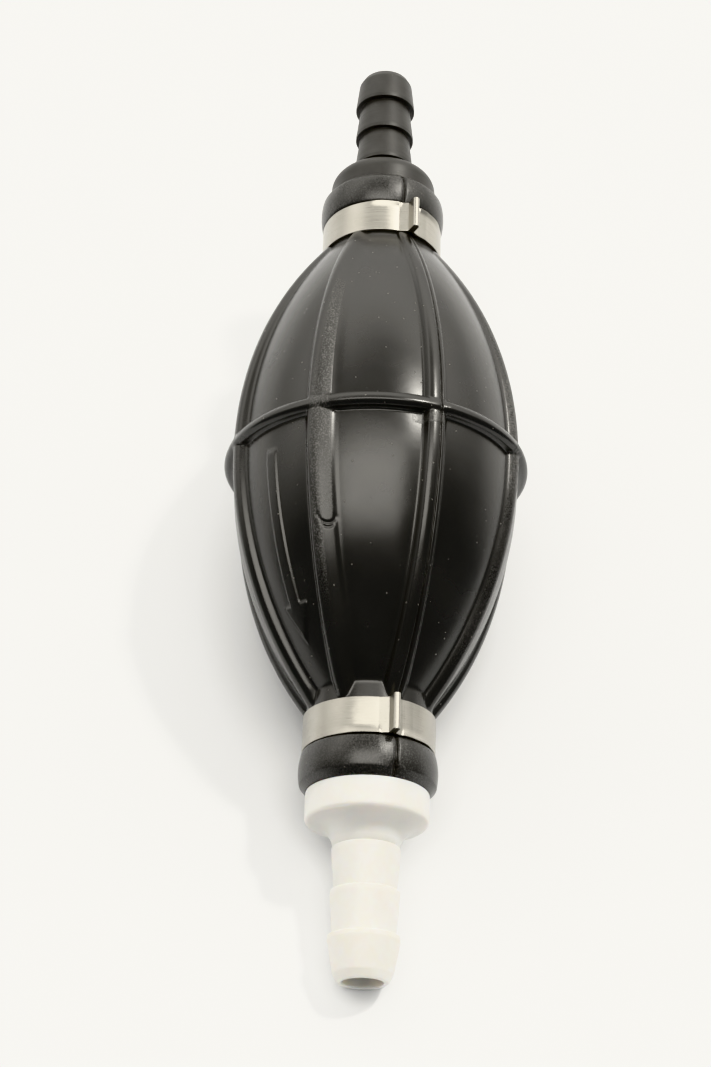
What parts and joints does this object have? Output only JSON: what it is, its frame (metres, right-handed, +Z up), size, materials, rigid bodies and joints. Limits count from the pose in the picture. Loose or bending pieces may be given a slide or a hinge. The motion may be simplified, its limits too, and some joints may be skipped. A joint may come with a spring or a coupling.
{
  "type": "siphon priming bulb",
  "caption": "Ribbed rubber squeeze bulb with a clamped hose tail and a one-way valve at each end, for starting and pumping a gravel cleaning siphon.",
  "frame": {"origin": "bottom centre of the bounding box, on the surface the bulb lies on", "axes": "the bulb lies as it rests: +Z up, +X towards the outlet (white) end, whose tip touches the surface; the bulb's own axis dips 14.04 degrees below +X in the XZ plane"},
  "size_m": [0.1784, 0.055, 0.0547],
  "materials": {
    "black_rubber": "moulded, semi-gloss",
    "clamp_steel": "brushed stainless strip",
    "black_plastic": "satin moulded plastic",
    "white_plastic": "satin moulded natural plastic",
    "valve_plastic": "natural acetal",
    "seal_rubber": "smooth",
    "spring_steel": "stainless spring wire"
  },
  "bodies": {
    "bulb_and_fittings": {"bulb": "black_rubber", "inlet_clamp": "clamp_steel", "outlet_clamp": "clamp_steel", "inlet_fitting": "black_plastic", "outlet_fitting": "white_plastic", "inlet_valve_spring": "spring_steel", "inlet_valve_retainer": "valve_plastic", "outlet_valve_seat": "valve_plastic", "outlet_valve_spring": "spring_steel"},
    "squeezed_wall": {"bulb_squeeze_panel": "black_rubber"},
    "inlet_valve": {"inlet_valve_poppet": "valve_plastic", "inlet_valve_seal": "seal_rubber"},
    "outlet_valve": {"outlet_valve_poppet": "valve_plastic", "outlet_valve_seal": "seal_rubber"}
  },
  "joints": [
    {"name": "squeeze", "type": "slide", "parent": "bulb_and_fittings", "child": "squeezed_wall", "axis": [-0.2426, 0, -0.9701], "range_m": [0, 0.009], "stiffness_N_per_m": 2500},
    {"name": "inlet_valve_lift", "type": "slide", "parent": "bulb_and_fittings", "child": "inlet_valve", "axis": [0.9701, 0, -0.2426], "range_m": [0, 0.0025], "stiffness_N_per_m": 120, "springref_m": -0.003, "deforming": ["inlet_valve_spring"]},
    {"name": "outlet_valve_lift", "type": "slide", "parent": "bulb_and_fittings", "child": "outlet_valve", "axis": [0.9701, 0, -0.2426], "range_m": [0, 0.0025], "stiffness_N_per_m": 120, "springref_m": -0.003, "deforming": ["outlet_valve_spring"]}
  ]
}
